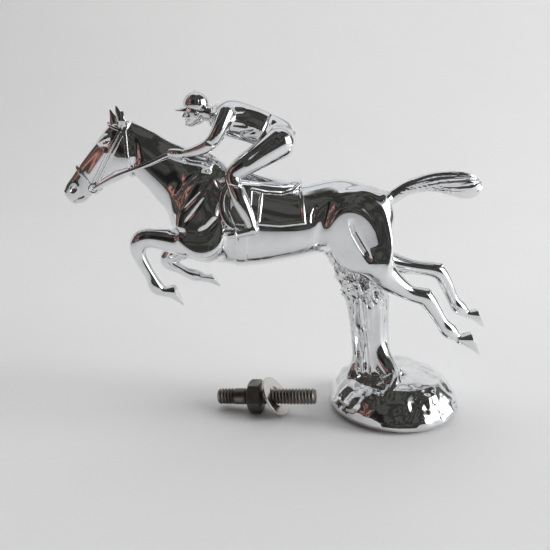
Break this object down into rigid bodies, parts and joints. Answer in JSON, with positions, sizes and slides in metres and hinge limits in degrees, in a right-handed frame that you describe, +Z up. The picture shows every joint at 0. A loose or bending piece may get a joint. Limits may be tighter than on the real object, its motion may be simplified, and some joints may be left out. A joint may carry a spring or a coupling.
{
  "type": "hood ornament",
  "caption": "Leaping horse and crouching rider on a tree-stump post and round rocky base, with loose stud, nut and washer.",
  "frame": {"origin": "centre of the base's underside, on the tapped hole's axis", "axes": "+Z up, -X the way the horse leaps, -Y its left (near) side"},
  "size_m": [0.1596, 0.05, 0.1192],
  "materials": {
    "chrome": "polished chrome plate, lightly pitted",
    "chrome_bark": "chrome plate over cast bark texture",
    "chrome_rock": "chrome plate over cast rock texture",
    "steel": "turned steel",
    "black_steel": "blackened steel with a little rust",
    "zinc_steel": "dull zinc plate"
  },
  "bodies": {
    "ornament": {"horse_body": "chrome", "near_foreleg": "chrome", "off_foreleg": "chrome", "near_hind_leg": "chrome", "off_hind_leg": "chrome", "horse_tail": "chrome", "saddle_cloth": "chrome", "saddle": "chrome", "girth": "chrome", "bridle": "chrome", "near_bit_ring": "chrome", "off_bit_ring": "chrome", "near_rein": "chrome", "off_rein": "chrome", "near_stirrup": "chrome", "off_stirrup": "chrome", "jockey_body": "chrome", "jockey_head": "chrome", "cap_peak": "chrome", "near_jockey_arm": "chrome", "off_jockey_arm": "chrome", "near_jockey_leg": "chrome", "off_jockey_leg": "chrome", "tree_stump": "chrome_bark", "base_mound": "chrome_rock", "base_dowel": "steel", "stump_dowel": "steel"},
    "stud": {"mounting_stud": "black_steel"},
    "washer": {"plain_washer": "zinc_steel"},
    "nut": {"hex_nut": "black_steel"}
  },
  "joints": [
    {"name": "stud_lift", "type": "slide", "parent": "ornament", "child": "stud", "axis": [0, 0, 1], "range_m": [0, 0.03]},
    {"name": "washer_slide", "type": "slide", "parent": "stud", "child": "washer", "axis": [0.969, -0.2237, 0.1045], "range_m": [0, 0.01524]},
    {"name": "nut_spin", "type": "hinge", "parent": "washer", "child": "nut", "pos_m": [-0.05416, -0.00616, 0.00602], "axis": [0.969, -0.2237, 0.1045], "range_deg": [0, 4320]}
  ],
  "couplings": [
    {"joint": "washer_slide", "follows": "nut_spin", "m_per_rad": 0.00020213}
  ]
}
